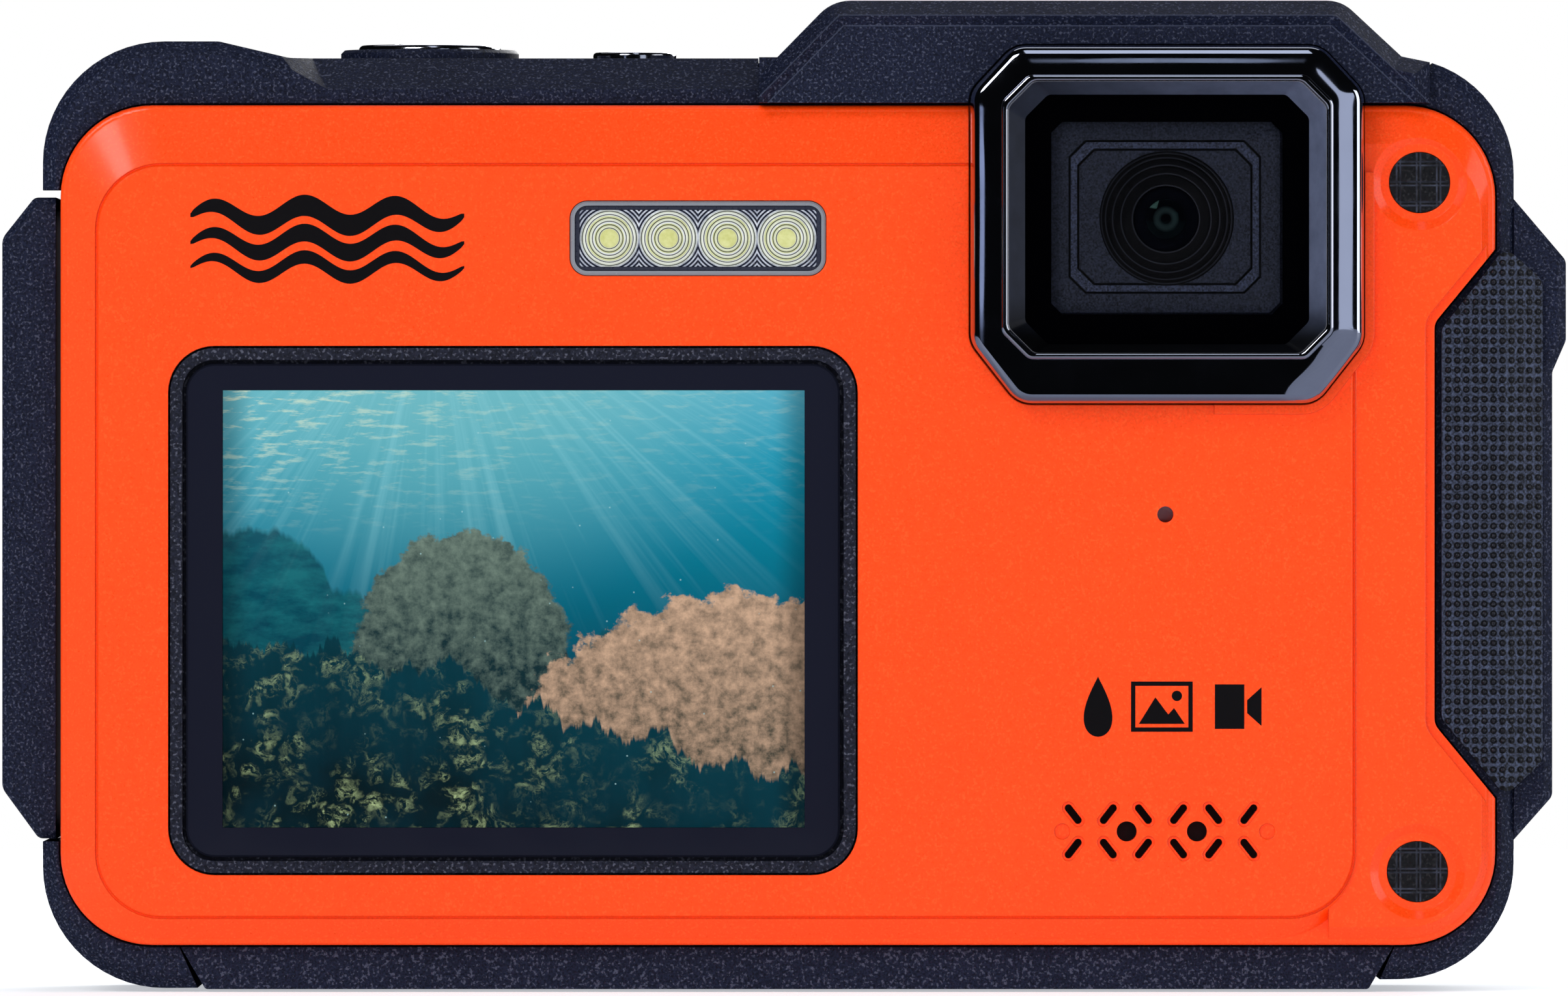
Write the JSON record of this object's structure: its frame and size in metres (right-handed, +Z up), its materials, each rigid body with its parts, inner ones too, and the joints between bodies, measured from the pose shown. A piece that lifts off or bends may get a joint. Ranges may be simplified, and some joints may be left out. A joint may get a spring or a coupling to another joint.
{
  "type": "action camera",
  "caption": "Rugged waterproof camera with a front display, a light bar, an octagonal lens surround, a grip pad, a hinged side door and pressing buttons.",
  "frame": {"origin": "middle of the footprint, on the surface that the camera stands on", "axes": "+X from the door side to the grip side, +Y from the lens side to the rear display, +Z up"},
  "size_m": [0.1094, 0.0306, 0.069],
  "materials": {
    "orange_shell": "satin moulded plastic with a clear gloss",
    "black_shell": "spark-eroded matte texture with fine sparkle",
    "black_rubber": "matte",
    "dark_chrome": "black chrome, mirror bright",
    "bright_chrome": "polished",
    "clear_glass": "polished",
    "display_glass": "polished",
    "screen_panel": "display panel",
    "lens_black": "fine matte anti-reflection black",
    "coated_glass": "green anti-reflection coating",
    "light_plastic": "clear moulded plastic",
    "led_phosphor": "yellow phosphor",
    "key_plastic": "satin black",
    "steel": "machined",
    "brass": "nickel-free turned brass",
    "gasket_rubber": "soft silicone",
    "board": "solder mask green",
    "sensor": "silicon under glass",
    "inner_plastic": "moulded",
    "battery_wrap": "printed wrap",
    "gold_contact": "gold flash",
    "card_plastic": "moulded"
  },
  "bodies": {
    "root": {"front_cover": "orange_shell", "mid_frame": "black_shell", "rear_cover": "black_shell", "top_cover": "black_shell", "bottom_rail": "black_shell", "side_frame": "black_shell", "shutter_collar": "black_shell", "front_display_frame": "black_shell", "grip_pad": "black_rubber", "corner_plugs": "black_rubber", "lens_bezel": "dark_chrome", "lens_trim_ring": "bright_chrome", "lens_window": "clear_glass", "lens_mask_plate": "lens_black", "lens_barrel": "lens_black", "lens_elements": "coated_glass", "image_sensor": "sensor", "light_bezel": "bright_chrome", "light_tray": "inner_plastic", "light_lens": "light_plastic", "led_chips": "led_phosphor", "led_board": "board", "front_display_glass": "display_glass", "front_display_panel": "screen_panel", "rear_display_glass": "display_glass", "rear_display_panel": "screen_panel", "speaker": "inner_plastic", "microphone": "steel", "front_screws": "steel", "rear_screws": "steel", "shutter_spring": "steel", "main_gasket": "gasket_rubber", "rear_gasket": "gasket_rubber", "door_hinge_pin": "steel", "battery": "battery_wrap", "battery_holder": "inner_plastic", "battery_contacts": "gold_contact", "card_socket": "steel", "memory_card": "card_plastic", "usb_port": "steel", "main_board": "board", "key_board": "board", "top_board": "board", "tripod_insert": "brass"},
    "door": {"side_door": "black_shell", "door_gasket": "gasket_rubber"},
    "latch": {"door_latch": "key_plastic"},
    "shutter": {"shutter_button": "bright_chrome"},
    "power": {"power_button": "bright_chrome"},
    "zoom_in": {"zoom_in_key": "key_plastic"},
    "zoom_out": {"zoom_out_key": "key_plastic"},
    "mode": {"mode_key": "key_plastic"},
    "menu": {"menu_key": "key_plastic"},
    "ok": {"ok_key": "key_plastic"},
    "up": {"up_key": "key_plastic"},
    "left": {"left_key": "key_plastic"},
    "down": {"down_key": "key_plastic"},
    "right": {"right_key": "key_plastic"},
    "play": {"play_key": "key_plastic"},
    "screen": {"screen_key": "key_plastic"}
  },
  "joints": [
    {"name": "door_hinge", "type": "hinge", "parent": "root", "child": "door", "pos_m": [-0.0523, 0.0082, 0.033], "axis": [0, 0, -1], "range_deg": [0, 110]},
    {"name": "latch_slide", "type": "slide", "parent": "door", "child": "latch", "axis": [0, 0, 1], "range_m": [0, 0.003]},
    {"name": "shutter_press", "type": "slide", "parent": "root", "child": "shutter", "axis": [0, 0, -1], "range_m": [0, 0.001], "stiffness_N_per_m": 400, "deforming": ["shutter_spring"]},
    {"name": "power_press", "type": "slide", "parent": "root", "child": "power", "axis": [0, 0, -1], "range_m": [0, 0.0004], "stiffness_N_per_m": 500},
    {"name": "zoom_in_press", "type": "slide", "parent": "root", "child": "zoom_in", "axis": [0, -1, 0], "range_m": [0, 0.0005], "stiffness_N_per_m": 300},
    {"name": "zoom_out_press", "type": "slide", "parent": "root", "child": "zoom_out", "axis": [0, -1, 0], "range_m": [0, 0.0005], "stiffness_N_per_m": 300},
    {"name": "mode_press", "type": "slide", "parent": "root", "child": "mode", "axis": [0, -1, 0], "range_m": [0, 0.0005], "stiffness_N_per_m": 300},
    {"name": "menu_press", "type": "slide", "parent": "root", "child": "menu", "axis": [0, -1, 0], "range_m": [0, 0.0005], "stiffness_N_per_m": 300},
    {"name": "ok_press", "type": "slide", "parent": "root", "child": "ok", "axis": [0, -1, 0], "range_m": [0, 0.0005], "stiffness_N_per_m": 300},
    {"name": "up_press", "type": "slide", "parent": "root", "child": "up", "axis": [0, -1, 0], "range_m": [0, 0.0005], "stiffness_N_per_m": 300},
    {"name": "left_press", "type": "slide", "parent": "root", "child": "left", "axis": [0, -1, 0], "range_m": [0, 0.0005], "stiffness_N_per_m": 300},
    {"name": "down_press", "type": "slide", "parent": "root", "child": "down", "axis": [0, -1, 0], "range_m": [0, 0.0005], "stiffness_N_per_m": 300},
    {"name": "right_press", "type": "slide", "parent": "root", "child": "right", "axis": [0, -1, 0], "range_m": [0, 0.0005], "stiffness_N_per_m": 300},
    {"name": "play_press", "type": "slide", "parent": "root", "child": "play", "axis": [0, -1, 0], "range_m": [0, 0.0005], "stiffness_N_per_m": 300},
    {"name": "screen_press", "type": "slide", "parent": "root", "child": "screen", "axis": [0, -1, 0], "range_m": [0, 0.0005], "stiffness_N_per_m": 300}
  ]
}
